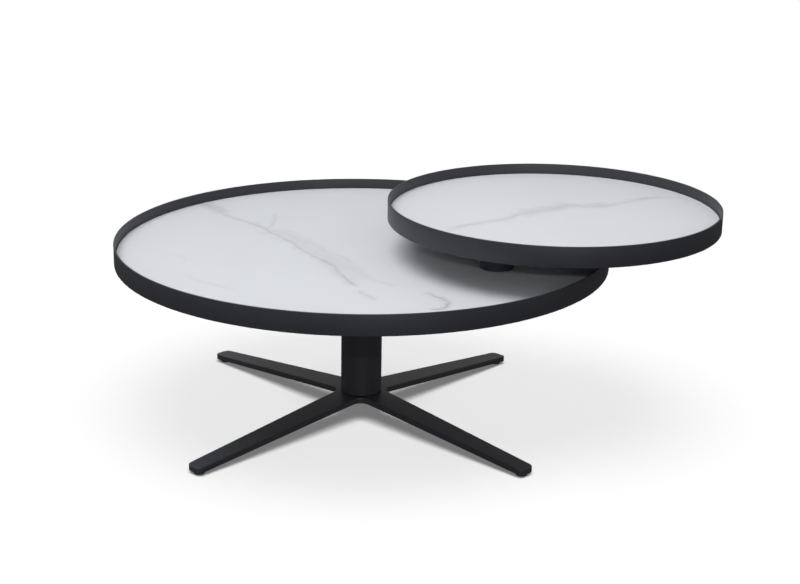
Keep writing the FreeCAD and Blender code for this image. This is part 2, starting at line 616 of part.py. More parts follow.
# Swivel plate: welded on the post and bolted to the small tray's pan.
swivel_places = ring("Levels.swivel_bolt_circle", PAN_BOLT_COUNT)
swivel_plate = new_body("swivel_plate", SWIVEL)
turned_ring(swivel_plate, "Levels.relief_radius", "Sizes.swivel_plate_diameter / 2", "Levels.post_top",
            "Levels.small_base")
light_hole = "Sizes.light_bolt_diameter + Sizes.hole_clearance"
drilled(swivel_plate, swivel_places, light_hole, "Levels.post_top")
washers("swivel_washers", SWIVEL, swivel_places, "light_bolt", "Levels.swivel_screw_base")
bolts("swivel_bolts", SWIVEL, swivel_places, "light_bolt", "Levels.swivel_screw_base",
      "Sizes.light_bolt_washer_thickness + Sizes.swivel_plate_thickness"
      " + Sizes.pan_thickness + Sizes.light_bolt_nut_height")
weld_nuts("swivel_weld_nuts", SWIVEL, swivel_places, "light_bolt", "Levels.small_base + Sizes.pan_thickness")

# Small tray: built like the large one, with an opening under its slab for the retaining bolt.
swivel_places_on_tray = ring("Levels.swivel_bolt_circle", PAN_BOLT_COUNT, middle="-Sizes.tray_offset")
tray("small", SMALL_TRAY, "Levels.small_radius", "Levels.small_base", swivel_places_on_tray,
     "Levels.light_nut_pocket", light_hole, ("-Sizes.tray_offset", "0"),
     [([("-Sizes.tray_offset", "0")], "Levels.retainer_pocket")], "Levels.retainer_pocket", None)

doc.recompute()
CUTS = ("PartDesign::Pocket", "PartDesign::Groove")
for item in doc.Objects:
    if "Invalid" in item.State or "Error" in item.State:
        raise RuntimeError(f"{item.Label} did not build: {item.State}")
    if item.TypeId in CUTS and item.Shape.Volume >= item.BaseFeature.Shape.Volume:
        raise RuntimeError(f"{item.Label} removes nothing")
pieces = [item for item in doc.Objects if item.TypeId == "PartDesign::Body"]
for piece in pieces:
    if piece.Shape.isNull() or not piece.Shape.isValid():
        raise RuntimeError(f"{piece.Label} has no valid shape")
os.makedirs("parts", exist_ok=True)
for piece in pieces:
    piece.Shape.exportStep(f"parts/{piece.Label}.step")
print(len(pieces), "pieces written")
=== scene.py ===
import math
import bmesh
import bpy
from mathutils import Matrix, Vector


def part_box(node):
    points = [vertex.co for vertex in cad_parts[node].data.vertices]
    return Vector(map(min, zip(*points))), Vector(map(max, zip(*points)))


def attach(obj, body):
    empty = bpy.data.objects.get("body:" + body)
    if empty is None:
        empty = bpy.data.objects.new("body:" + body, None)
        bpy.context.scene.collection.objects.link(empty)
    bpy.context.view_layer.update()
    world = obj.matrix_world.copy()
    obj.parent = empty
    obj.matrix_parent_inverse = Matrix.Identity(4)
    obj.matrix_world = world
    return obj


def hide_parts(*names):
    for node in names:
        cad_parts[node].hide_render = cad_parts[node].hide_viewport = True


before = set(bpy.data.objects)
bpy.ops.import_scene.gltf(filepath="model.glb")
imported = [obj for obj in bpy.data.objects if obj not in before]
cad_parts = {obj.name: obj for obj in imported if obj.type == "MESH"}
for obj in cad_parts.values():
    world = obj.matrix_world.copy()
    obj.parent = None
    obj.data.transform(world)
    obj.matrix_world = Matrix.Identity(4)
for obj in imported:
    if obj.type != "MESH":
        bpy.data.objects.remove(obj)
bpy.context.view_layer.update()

# Star base: one steel plate cut to four tapering arms, bent down from the hub to the floor. Its edges are
# broken all round and the whole star is powder-coated in satin black. Lengths are in millimetres here and
# below, unless a line says otherwise, and MM turns them into the frame's metres.
MM = 0.001
HUB_HEIGHT = 49.0
HUB_FLAT_RADIUS = 42.0
ARM_REACH = 408.0
ARM_TIP_HEIGHT = 16.2
ARM_THICKNESS = 11.0
ARM_ROOT_HALF = 29.0
ARM_TIP_HALF = 16.75
ARM_CORNER_ROUND = 10.0
ARM_CROTCH_ROUND = 18.0
ARM_ROUND_STEPS = 8
ARM_EDGE_ROUND = 1.5
ARM_COUNT = 4
ARM_AZIMUTH = math.radians(45)
# Each arm is cut across at these distances from the hub, so that its faces stay even where the plate bends.
ARM_ROWS = (*range(60, 361, 30), 385)
EDGE_STEPS = 4
MERGE_GAP = 0.002
SMOOTH_ANGLE = math.radians(35)

arm_taper = (ARM_ROOT_HALF - ARM_TIP_HALF) / ARM_REACH
arm_slope = (HUB_HEIGHT - ARM_TIP_HEIGHT) / (ARM_REACH - HUB_FLAT_RADIUS)
crotch = ARM_ROOT_HALF / (1 + arm_taper)
star_outline = []
for arm in range(ARM_COUNT):
    arm_turn = Matrix.Rotation(math.tau * arm / ARM_COUNT, 2)
    for corner in ((ARM_REACH, -ARM_TIP_HALF), (ARM_REACH, ARM_TIP_HALF), (crotch, crotch)):
        star_outline.append(arm_turn @ Vector(corner))
bpy.ops.object.select_all(action="DESELECT")
bpy.ops.mesh.primitive_circle_add(vertices=len(star_outline), fill_type="NGON")
star = bpy.context.object
star.name = "star_plate"
for vertex, corner in zip(star.data.vertices, star_outline):
    vertex.co = (corner.x * MM, corner.y * MM, HUB_HEIGHT * MM)


def begin_edit(piece):
    """Opens one piece, and nothing else, for editing."""
    bpy.ops.object.select_all(action="DESELECT")
    piece.select_set(True)
    bpy.context.view_layer.objects.active = piece
    bpy.ops.object.mode_set(mode="EDIT")


def pick(piece, kind, wanted):
    """Selects the vertices, edges or faces of the open piece that the test wants."""
    bpy.ops.mesh.select_mode(type=kind)
    bpy.ops.mesh.select_all(action="DESELECT")
    shape = bmesh.from_edit_mesh(piece.data)
    for element in {"VERT": shape.verts, "EDGE": shape.edges, "FACE": shape.faces}[kind]:
        if wanted(element):
            element.select_set(True)
    bmesh.update_edit_mesh(piece.data)


begin_edit(star)
tip_turn = math.pi / 2 + math.atan(arm_taper)
crotch_turn = math.pi / 2 - 2 * math.atan(arm_taper)
for is_tip, radius, turn in ((True, ARM_CORNER_ROUND, tip_turn), (False, ARM_CROTCH_ROUND, crotch_turn)):
    pick(star, "VERT", lambda vertex: (vertex.co.xy.length > ARM_REACH * MM / 2) == is_tip)
    bpy.ops.mesh.bevel(offset=radius * MM / math.tan(turn / 2), offset_type="ABSOLUTE",
                       segments=ARM_ROUND_STEPS, affect="VERTICES")
bpy.ops.mesh.select_mode(type="FACE")
bpy.ops.mesh.select_all(action="SELECT")
bpy.ops.mesh.extrude_region_move(TRANSFORM_OT_translate={"value": (0, 0, -ARM_THICKNESS * MM)})
for row in (0, *ARM_ROWS, *(-distance for distance in ARM_ROWS)):
    for across in ((1, 0, 0), (0, 1, 0)):
        bpy.ops.mesh.select_all(action="SELECT")
        bpy.ops.mesh.bisect(plane_co=Vector(across) * row * MM, plane_no=across)
bpy.ops.object.mode_set(mode="OBJECT")
for vertex in star.data.vertices:
    vertex.co.z -= arm_slope * max(0, vertex.co.xy.length - HUB_FLAT_RADIUS * MM)


def end_edit():
    """Closes the open piece with its faces outwards and its broken edges smooth."""
    bpy.ops.mesh.select_mode(type="VERT")
    bpy.ops.mesh.select_all(action="SELECT")
    bpy.ops.mesh.remove_doubles(threshold=MERGE_GAP * MM)
    bpy.ops.mesh.normals_make_consistent(inside=False)
    bpy.ops.object.mode_set(mode="OBJECT")
    bpy.ops.object.shade_smooth_by_angle(angle=SMOOTH_ANGLE)


def apply_modifier(piece, kind, **settings):
    """Adds one modifier to a piece and makes its result the piece's mesh."""
    modifier = piece.modifiers.new(kind.lower(), kind)
    for setting, value in settings.items():
        setattr(modifier, setting, value)
    bpy.ops.object.select_all(action="DESELECT")
    piece.select_set(True)
    bpy.context.view_layer.objects.active = piece
    bpy.ops.object.modifier_apply(modifier=modifier.name)


def middle_of(node_name):
    """The middle of a CAD node's box."""
    low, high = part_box(node_name)
    return (Vector(low) + Vector(high)) / 2


begin_edit(star)
end_edit()
apply_modifier(star, "BEVEL", width=ARM_EDGE_ROUND * MM, segments=EDGE_STEPS, limit_method="ANGLE",
               angle_limit=SMOOTH_ANGLE, harden_normals=True)
column_axis = middle_of("column_tube")
star.rotation_euler.z = ARM_AZIMUTH
star.location = (column_axis.x, column_axis.y, 0)
bpy.ops.object.transform_apply(location=True, rotation=True, scale=True)

# Polyester powder coat, sprayed dry and baked to a skin with a fine orange peel: nearly black, with a soft
# shine at a flat angle. Its tone and gloss drift a little over a hand's width. The real peel is about 1 mm
# wide, too fine for a picture of the whole table, so it is drawn at 5 mm.
COAT_DARK = "#2C2D32"
COAT_LIGHT = "#33343A"
COAT_DRIFT = 1 / (70 * MM)
COAT_PEEL = 1 / (5 * MM)
# A mix node's colour sockets share their names with others, so they are called by number.
MIX_FACTOR, MIX_FROM, MIX_TO, MIXED = 0, 6, 7, 2


def linear(hex_colour):
    """A colour written as an sRGB hex value, as the linear colour that a shader takes."""
    values = [int(hex_colour[place:place + 2], 16) / 255 for place in (1, 3, 5)]
    return [v / 12.92 if v <= 0.04045 else ((v + 0.055) / 1.055) ** 2.4 for v in values] + [1.0]


def feed(tree, target, inputs):
    """Sets a node's inputs, and links those that are given as another node's output."""
    for socket, value in inputs.items():
        if isinstance(value, bpy.types.NodeSocket):
            tree.links.new(value, target.inputs[socket])
        else:
            target.inputs[socket].default_value = value


def node(tree, kind, inputs, **settings):
    """Adds one shader node with its settings and links, and gives its outputs."""
    made = tree.nodes.new(kind)
    for setting, value in settings.items():
        setattr(made, setting, value)
    feed(tree, made, inputs)
    return made.outputs


def new_material(name):
    """A new material, its node tree and its shader."""
    material = bpy.data.materials.new(name)
    material.use_nodes = True
    return material, material.node_tree, material.node_tree.nodes["Principled BSDF"]


powder_coat, tree, shader = new_material("black_polyester_powder_coat")
place = node(tree, "ShaderNodeTexCoord", {})["Object"]
drift = node(tree, "ShaderNodeTexNoise", {"Vector": place, "Scale": COAT_DRIFT, "Detail": 3.0})["Fac"]
peel = node(tree, "ShaderNodeTexNoise", {"Vector": place, "Scale": COAT_PEEL, "Detail": 2.0})["Fac"]
tone = node(tree, "ShaderNodeMix", {
    MIX_FACTOR: drift, MIX_FROM: linear(COAT_DARK), MIX_TO: linear(COAT_LIGHT)}, data_type="RGBA")[MIXED]
gloss = node(tree, "ShaderNodeMapRange", {"Value": drift, "To Min": 0.40, "To Max": 0.50})["Result"]
skin = node(tree, "ShaderNodeBump", {"Height": peel, "Strength": 0.25, "Distance": 0.05 * MM})["Normal"]
feed(tree, shader, {"Base Color": tone, "Roughness": gloss, "Normal": skin, "IOR": 1.5})


def hand_over(piece, node_name, body, material):
    """Gives a finished piece its material and puts it in the place of its CAD node."""
    piece.data.materials.clear()
    piece.data.materials.append(material)
    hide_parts(node_name)
    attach(piece, body)


hand_over(star, "star_base", "base", powder_coat)

# Glides: round feet turned from black nylon, one pressed into a blind hole under each arm's end.
# The edge that meets the floor is rounded so that it slides without catching.
GLIDE_EDGE_ROUND = 1.5
GLIDE_TOP_ROUND = 0.4
GLIDE_STEM_RADIUS = 4.0
GLIDE_STEM_LENGTH = 5.0
GLIDE_STEPS = 64
SAME_SPOT = 0.01


def turned_piece(name, axis, corners, steps):
    """Turns a piece on an upright axis: corners are radius, height and rounding, in millimetres."""
    bpy.ops.object.select_all(action="DESELECT")
    bpy.ops.mesh.primitive_circle_add(vertices=len(corners), fill_type="NGON")
    piece = bpy.context.object
    piece.name = name
    for vertex, (radius, height, _) in zip(piece.data.vertices, corners):
        vertex.co = (axis.x + radius * MM, axis.y, height * MM)
    begin_edit(piece)
    for radius, height, rounding in corners:
        if rounding:
            spot = Vector((axis.x + radius * MM, axis.y, height * MM))
            pick(piece, "VERT", lambda vertex: (vertex.co - spot).length < SAME_SPOT * MM)
            bpy.ops.mesh.bevel(offset=rounding * MM, offset_type="ABSOLUTE", segments=EDGE_STEPS,
                               affect="VERTICES")
    # The outline's face and its edges on the axis go, and the rest is turned.
    bpy.ops.mesh.select_mode(type="FACE")
    bpy.ops.mesh.select_all(action="SELECT")
    bpy.ops.mesh.delete(type="ONLY_FACE")
    pick(piece, "EDGE", lambda edge: all(abs(v.co.x - axis.x) < SAME_SPOT * MM for v in edge.verts))
    bpy.ops.mesh.delete(type="EDGE")
    bpy.ops.mesh.select_all(action="SELECT")
    bpy.ops.mesh.spin(steps=steps, angle=math.tau, center=(axis.x, axis.y, 0), axis=(0, 0, 1))
    end_edit()
    return piece


# Nylon, moulded and turned: a matt black a shade greyer than the coat, with faint scuffs where it is worn.
NYLON_DARK = "#1B1B1C"
NYLON_WORN = "#2A2A2B"
NYLON_SCUFF = 1 / (6 * MM)
nylon, tree, shader = new_material("black_turned_nylon")
place = node(tree, "ShaderNodeTexCoord", {})["Object"]
scuff = node(tree, "ShaderNodeTexNoise", {"Vector": place, "Scale": NYLON_SCUFF, "Detail": 6.0})["Fac"]
worn = node(tree, "ShaderNodeMapRange", {"Value": scuff, "From Min": 0.45, "From Max": 0.75})["Result"]
tone = node(tree, "ShaderNodeMix", {
    MIX_FACTOR: worn, MIX_FROM: linear(NYLON_DARK), MIX_TO: linear(NYLON_WORN)}, data_type="RGBA")[MIXED]
feed(tree, shader, {"Base Color": tone, "Roughness": 0.6, "IOR": 1.53})

first_glide = middle_of("glide_front_left")
low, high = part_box("glide_front_left")
glide_radius = (high[0] - low[0]) / 2 / MM
stem_top = high[2] / MM
seat = stem_top - GLIDE_STEM_LENGTH
first_foot = turned_piece("glide_foot_front_left", first_glide, (
    (0, 0, 0),
    (glide_radius, 0, GLIDE_EDGE_ROUND),
    (glide_radius, seat, GLIDE_TOP_ROUND),
    (GLIDE_STEM_RADIUS, seat, 0),
    (GLIDE_STEM_RADIUS, stem_top, GLIDE_TOP_ROUND),
    (0, stem_top, 0)), GLIDE_STEPS)
hand_over(first_foot, "glide_front_left", "base", nylon)
for corner in ("front_right", "back_left", "back_right"):
    foot = bpy.data.objects.new("glide_foot_" + corner, first_foot.data.copy())
    bpy.context.scene.collection.objects.link(foot)
    foot.data.transform(Matrix.Translation(middle_of("glide_" + corner) - first_glide))
    hand_over(foot, "glide_" + corner, "base", nylon)

# Column: a round steel tube that stands on the star, welded to the mounting plate at its upper end.
# A disc in its lower end is tapped for the screws that come up through the star.
COLUMN_RADIUS = 38.0
COLUMN_WALL = 3.0
COLUMN_EDGE_ROUND = 0.8
COLUMN_STEPS = 144
low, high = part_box("column_tube")
base, top = low[2] / MM, high[2] / MM
column = turned_piece("column_pipe", column_axis, (
    (COLUMN_RADIUS - COLUMN_WALL, base, 0),
    (COLUMN_RADIUS, base, COLUMN_EDGE_ROUND),
    (COLUMN_RADIUS, top, 0),
    (COLUMN_RADIUS - COLUMN_WALL, top, 0)), COLUMN_STEPS)
hand_over(column, "column_tube", "base", powder_coat)


def finish_nodes(names, material):
    """Gives CAD nodes whose shape is already right their finish."""
    for name in names:
        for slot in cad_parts[name].material_slots:
            slot.material = material


# Zinc plate on cold-headed steel: a pale, slightly blue metal with a faint cloudy bloom from the bath.
ZINC_DULL = "#A9ADB2"
ZINC_BRIGHT = "#C6CACE"
ZINC_BLOOM = 1 / (5 * MM)
zinc, tree, shader = new_material("zinc_plated_steel")
place = node(tree, "ShaderNodeTexCoord", {})["Object"]
bloom = node(tree, "ShaderNodeTexNoise", {"Vector": place, "Scale": ZINC_BLOOM, "Detail": 4.0})["Fac"]
tone = node(tree, "ShaderNodeMix", {
    MIX_FACTOR: bloom, MIX_FROM: linear(ZINC_DULL), MIX_TO: linear(ZINC_BRIGHT)}, data_type="RGBA")[MIXED]
gloss = node(tree, "ShaderNodeMapRange", {"Value": bloom, "To Min": 0.42, "To Max": 0.26})["Result"]
feed(tree, shader, {"Base Color": tone, "Roughness": gloss, "Metallic": 1.0})

finish_nodes(("column_foot",), powder_coat)
finish_nodes(("foot_screws", "foot_washers"), zinc)

# Mounting plate: flame-cut plate on top of the column, with a tongue that reaches under the swivel.
# An upright web and three gussets are welded under it, and all are coated with the column.
finish_nodes(("mounting_plate", "tongue_web", "column_gussets"), powder_coat)

# Large rim and pan: flat steel bar rolled into a hoop, with a sheet disc welded in as its bottom. Both are
# coated together. The rim stays a hair inside the CAD rim, whose box is measured on its facets.
RIM_WALL = 3.0
RIM_EDGE_ROUND = 0.8
RIM_INSET = 0.02
TRAY_STEPS = 360


def tray_rim(name, node_name, body):
    """A tray's rolled bar, with all four edges rounded."""
    low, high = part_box(node_name)
    outside = (high[1] - low[1]) / 2 / MM - RIM_INSET
    base, top = low[2] / MM, high[2] / MM
    rim = turned_piece(name, middle_of(node_name), (
        (outside - RIM_WALL, base, RIM_EDGE_ROUND),
        (outside, base, RIM_EDGE_ROUND),
        (outside, top, RIM_EDGE_ROUND),
        (outside - RIM_WALL, top, RIM_EDGE_ROUND)), TRAY_STEPS)
    hand_over(rim, node_name, body, powder_coat)


tray_rim("large_rim_band", "large_rim", "base")
finish_nodes(("large_pan",), powder_coat)

# Large core board: a disc sawn from fibreboard and laid in the pan, which carries the slab.
# Fibreboard is pressed wood fibre, an even brown with short pale flecks.
BOARD_BROWN = "#7A5C3E"
BOARD_FLECK = "#A98B66"
BOARD_FIBRE = 1 / (2.5 * MM)
fibreboard, tree, shader = new_material("pressed_fibreboard")
place = node(tree, "ShaderNodeTexCoord", {})["Object"]
fibre = node(tree, "ShaderNodeTexNoise", {
    "Vector": place, "Scale": BOARD_FIBRE, "Detail": 6.0, "Distortion": 1.5})["Fac"]
fleck = node(tree, "ShaderNodeMapRange", {"Value": fibre, "From Min": 0.5, "From Max": 0.7})["Result"]
tone = node(tree, "ShaderNodeMix", {
    MIX_FACTOR: fleck, MIX_FROM: linear(BOARD_BROWN), MIX_TO: linear(BOARD_FLECK)}, data_type="RGBA")[MIXED]
feed(tree, shader, {"Base Color": tone, "Roughness": 0.8})
finish_nodes(("large_core_board",), fibreboard)

# Large slab: a disc of marbled ceramic laid on the board, with a hole for the swivel and its upper edge
# ground. The ceramic is pressed stoneware, printed with soft grey veins under a matt glaze: a white that is
# a little cool and cloudy, and veins with a thin core in a pale smear that comes and goes.
SLAB_BEVEL = 0.5
SLAB_BEVEL_STEPS = 2
SLAB_HOLE_RADIUS = 25.0
HOLE_STEPS = 72
# The drill that cuts the hole is this many slabs long.
DRILL_SLABS = 4
CERAMIC_WHITE = "#CDCFD3"
CERAMIC_CLOUD = "#C6C8CC"
CLOUD_SIZE = 1 / (190 * MM)
# The glaze's real dimples are finer than a picture of the whole table shows, so they are drawn at 6 mm.
GLAZE_DIMPLE = 1 / (6 * MM)
VEIN_GREY = "#767882"
VEIN_SPREAD = 60.0
VEIN_WOBBLE = 1 / (24 * MM)
VEIN_WOBBLE_REACH = 11 * MM
VEIN_PATCH = 1 / (45 * MM)
# The shares of its length over which a vein comes in and dies out, and the share of its smear that is full.
VEIN_START = (-0.02, 0.06)
VEIN_END = (1.02, 0.9)
SMEAR_FULL = 0.4
# The height at which the curve of a vein has no bow.
NO_BOW = 0.5


def vein(tree, place, swell, start, end, bow, core, smear, depth, haze):
    """How strongly one vein shows: a bowed line from start to end, with core and smear as its half widths.
    bow gives sideways steps at shares of the length. All are in millimetres. depth and haze are the
    strengths of core and smear, and swell is the noise that makes the vein thicker and thinner."""
    run = Vector(end) - Vector(start)
    along = node(tree, "ShaderNodeMapping", {
        "Vector": place,
        "Location": (start[0] * MM, start[1] * MM, 0),
        "Rotation": (0, 0, math.atan2(run.y, run.x)),
        "Scale": (run.length * MM, VEIN_SPREAD * MM, 1)}, vector_type="TEXTURE")["Vector"]
    parts = node(tree, "ShaderNodeSeparateXYZ", {"Vector": along})
    curve = tree.nodes.new("ShaderNodeFloatCurve")
    points = curve.mapping.curves[0].points
    points[0].location = (0, NO_BOW)
    points[1].location = (1, NO_BOW)
    for share, step in bow:
        points.new(share, NO_BOW + step / VEIN_SPREAD)
    curve.mapping.update()
    feed(tree, curve, {"Value": parts["X"]})
    level = node(tree, "ShaderNodeMath", {0: curve.outputs[0], 1: NO_BOW}, operation="SUBTRACT")[0]
    offset = node(tree, "ShaderNodeMath", {0: parts["Y"], 1: level}, operation="SUBTRACT")[0]
    distance = node(tree, "ShaderNodeMath", {0: offset}, operation="ABSOLUTE")[0]
    reach = node(tree, "ShaderNodeMath", {0: distance, 1: swell}, operation="DIVIDE")[0]
    line = node(tree, "ShaderNodeMapRange", {
        "Value": reach, "From Max": core / VEIN_SPREAD, "To Min": depth, "To Max": 0.0},
        interpolation_type="SMOOTHSTEP")["Result"]
    cloud = node(tree, "ShaderNodeMapRange", {
        "Value": reach, "From Min": SMEAR_FULL * smear / VEIN_SPREAD, "From Max": smear / VEIN_SPREAD,
        "To Min": haze, "To Max": 0.0}, interpolation_type="SMOOTHSTEP")["Result"]
    both = node(tree, "ShaderNodeMath", {0: line, 1: cloud}, operation="MAXIMUM")[0]
    opening = node(tree, "ShaderNodeMapRange", {
        "Value": parts["X"], "From Min": VEIN_START[0], "From Max": VEIN_START[1]})["Result"]
    closing = node(tree, "ShaderNodeMapRange", {
        "Value": parts["X"], "From Min": VEIN_END[0], "From Max": VEIN_END[1]})["Result"]
    ends = node(tree, "ShaderNodeMath", {0: opening, 1: closing}, operation="MULTIPLY")[0]
    return node(tree, "ShaderNodeMath", {0: both, 1: ends}, operation="MULTIPLY")[0]


def marbled_ceramic(name, centre, veins):
    """Glazed stoneware with veins that are given from the slab's centre."""
    material, tree, shader = new_material(name)
    own = node(tree, "ShaderNodeTexCoord", {})["Object"]
    place = node(tree, "ShaderNodeMapping", {"Vector": own, "Location": (centre.x, centre.y, 0)},
                 vector_type="TEXTURE")["Vector"]
    wobble = node(tree, "ShaderNodeTexNoise", {
        "Vector": place, "Scale": VEIN_WOBBLE, "Detail": 5.0, "Roughness": 0.6})
    sway = node(tree, "ShaderNodeVectorMath", {0: wobble["Color"], 1: (0.5, 0.5, 0.5)},
                operation="SUBTRACT")[0]
    shift = node(tree, "ShaderNodeVectorMath", {0: sway, "Scale": VEIN_WOBBLE_REACH}, operation="SCALE")[0]
    drawn = node(tree, "ShaderNodeVectorMath", {0: place, 1: shift}, operation="ADD")[0]
    patch = node(tree, "ShaderNodeTexNoise", {"Vector": place, "Scale": VEIN_PATCH, "Detail": 3.0})["Fac"]
    showing = node(tree, "ShaderNodeMapRange", {
        "Value": patch, "From Min": 0.3, "From Max": 0.6, "To Min": 0.6})["Result"]
    swell = node(tree, "ShaderNodeMapRange", {
        "Value": wobble["Fac"], "From Min": 0.3, "From Max": 0.7, "To Min": 0.6, "To Max": 1.5})["Result"]
    total = 0.0
    for one in veins:
        strength = vein(tree, drawn, swell, *one)
        total = node(tree, "ShaderNodeMath", {0: total, 1: strength}, operation="MAXIMUM")[0]
    shown = node(tree, "ShaderNodeMath", {0: total, 1: showing}, operation="MULTIPLY")[0]
    cloud = node(tree, "ShaderNodeTexNoise", {"Vector": place, "Scale": CLOUD_SIZE, "Detail": 4.0})["Fac"]
    ground = node(tree, "ShaderNodeMix", {
        MIX_FACTOR: cloud, MIX_FROM: linear(CERAMIC_CLOUD), MIX_TO: linear(CERAMIC_WHITE)},
        data_type="RGBA")[MIXED]
    tone = node(tree, "ShaderNodeMix", {
        MIX_FACTOR: shown, MIX_FROM: ground, MIX_TO: linear(VEIN_GREY)}, data_type="RGBA")[MIXED]
    dimple = node(tree, "ShaderNodeTexNoise", {"Vector": place, "Scale": GLAZE_DIMPLE})["Fac"]
    glaze = node(tree, "ShaderNodeBump", {
        "Height": dimple, "Strength": 0.08, "Distance": 0.05 * MM})["Normal"]
    gloss = node(tree, "ShaderNodeMapRange", {"Value": cloud, "To Min": 0.54, "To Max": 0.62})["Result"]
    feed(tree, shader, {"Base Color": tone, "Roughness": gloss, "Normal": glaze, "IOR": 1.5,
                        "Specular IOR Level": 0.22})
    return material


def tray_slab(name, node_name, body, material, hole_axis=None):
    """A tray's ceramic disc with its upper edge bevelled, and a hole where an axis is given."""
    low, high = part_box(node_name)
    centre = middle_of(node_name)
    depth = high[2] - low[2]
    bpy.ops.object.select_all(action="DESELECT")
    bpy.ops.mesh.primitive_cylinder_add(vertices=TRAY_STEPS, radius=(high[1] - low[1]) / 2, depth=depth,
                                        location=centre)
    slab = bpy.context.object
    slab.name = name
    bpy.ops.object.transform_apply(location=True, rotation=True, scale=True)
    begin_edit(slab)
    pick(slab, "EDGE", lambda edge: all(vertex.co.z > centre.z for vertex in edge.verts))
    bpy.ops.mesh.bevel(offset=SLAB_BEVEL * MM, offset_type="OFFSET", segments=SLAB_BEVEL_STEPS,
                       affect="EDGES")
    end_edit()
    if hole_axis:
        bpy.ops.object.select_all(action="DESELECT")
        bpy.ops.mesh.primitive_cylinder_add(vertices=HOLE_STEPS, radius=SLAB_HOLE_RADIUS * MM,
                                            depth=DRILL_SLABS * depth,
                                            location=(hole_axis.x, hole_axis.y, centre.z))
        drill = bpy.context.object
        apply_modifier(slab, "BOOLEAN", operation="DIFFERENCE", solver="EXACT", object=drill)
        bpy.data.objects.remove(drill)
        bpy.ops.object.shade_smooth_by_angle(angle=SMOOTH_ANGLE)
    hand_over(slab, node_name, body, material)


# Each vein has its start, end, bow, core, smear, depth and haze.
LARGE_VEINS = (
    # The long vein from the far left, its darker lower half and a loose end at the front.
    ((-323, 303), (-56, -113), ((0.18, -2), (0.35, 9), (0.41, 15), (0.49, 14), (0.6, 12), (0.68, 12),
                                (0.75, 5), (0.84, 1), (0.92, -2)), 7, 14, 0.34, 0.10),
    ((-80, -79), (-9, -246), ((0.22, 9), (0.55, 2), (0.78, 0)), 9, 18, 0.40, 0.12),
    ((-6, -263), (20, -319), ((0.36, -3), (0.5, 2)), 7, 14, 0.22, 0.06),
    # The branch on its right, in two lengths, and the pale band between the two.
    ((-184, 115), (-1, -111), ((0.21, 11), (0.33, 5), (0.42, 12), (0.56, 5), (0.69, -3), (0.81, -1),
                               (0.95, -10)), 7, 14, 0.20, 0.06),
    ((-6, -163), (63, -236), ((0.22, -6), (0.41, -11), (0.66, -9), (0.87, -11)), 6, 12, 0.20, 0.06),
    ((-180, 115), (6, -229), ((0.2, 10), (0.43, 12), (0.66, 10), (0.82, 10)), 20, 34, 0.13, 0.13),
    # The smudge where the long vein meets the rim, and the short fork where the branch leaves it.
    ((-321, 303), (-271, 230), ((0.38, 2), (0.65, 2)), 14, 24, 0.34, 0.22),
    ((-182, 115), (-173, 234), ((0.19, -5), (0.5, -6)), 5, 10, 0.20, 0.05),
    # The dark hook at the front right.
    ((102, -276), (149, -318), ((0.16, 4), (0.38, -2), (0.61, -1), (0.91, -7)), 6, 12, 0.50, 0.12),
    ((142, -321), (107, -363), ((0.3, 9), (0.6, 14), (0.86, 8)), 7, 13, 0.50, 0.12),
    # Two faint threads on the left.
    ((-366, -76), (-311, -109), ((0.14, 6), (0.28, 23)), 5, 10, 0.10, 0.04),
    ((-306, -175), (-200, -268), ((0.35, -13), (0.65, -12), (0.88, -9)), 5, 10, 0.12, 0.04),
)
swivel_axis = middle_of("turning_post")
large_ceramic = marbled_ceramic("marbled_stoneware_large", middle_of("large_rim"), LARGE_VEINS)
tray_slab("large_slab", "large_ceramic_top", "base", large_ceramic, swivel_axis)

# Large joint strip: black silicone pressed into the joint between slab and rim, and tooled to a shallow
# hollow. It dries matt, with a faint drag from the tool.
STRIP_WIDTH = 1.4
STRIP_HOLLOW = 0.4
SEALANT_DARK = "#121213"
SEALANT_LIGHT = "#1B1B1C"
SEALANT_DRAG = 1 / (4 * MM)
sealant, tree, shader = new_material("black_silicone_sealant")
place = node(tree, "ShaderNodeTexCoord", {})["Object"]
drag = node(tree, "ShaderNodeTexNoise", {"Vector": place, "Scale": SEALANT_DRAG, "Detail": 2.0})["Fac"]
tone = node(tree, "ShaderNodeMix", {
    MIX_FACTOR: drag, MIX_FROM: linear(SEALANT_DARK), MIX_TO: linear(SEALANT_LIGHT)},
    data_type="RGBA")[MIXED]
feed(tree, shader, {"Base Color": tone, "Roughness": 0.7, "IOR": 1.41})


def joint_strip(name, node_name, body):
    """A tray's ring of sealant, hollow at the middle of its upper face."""
    low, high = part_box(node_name)
    outside = (high[1] - low[1]) / 2 / MM
    inside = outside - STRIP_WIDTH
    base, top = low[2] / MM, high[2] / MM
    strip = turned_piece(name, middle_of(node_name), (
        (inside, base, 0),
        (outside, base, 0),
        (outside, top, 0),
        ((inside + outside) / 2, top - STRIP_HOLLOW, 0),
        (inside, top, 0)), TRAY_STEPS)
    hand_over(strip, node_name, body, sealant)


joint_strip("large_joint_bead", "large_joint_strip", "base")

# Fixings of the large tray: hexagon bolts with plain washers come up through the mounting plate, six into
# weld nuts in the pan and four into the spindle's flange. All are bright zinc-plated steel.
finish_nodes(("pan_bolts", "pan_washers", "pan_weld_nuts", "flange_bolts", "flange_washers"), zinc)

# Spindle and bearing: a turned steel spindle with a flange, two flanged bronze bushes that run on it, a
# nylon thrust washer under them, and a washer and bolt on top that keep the small tray from lifting off.
LATHE_FEED = 1 / (1.2 * MM)
STEEL_DARK = "#8E9092"
STEEL_LIGHT = "#B4B6B8"
BRONZE_DARK = "#A87B3E"
BRONZE_LIGHT = "#C79A5A"


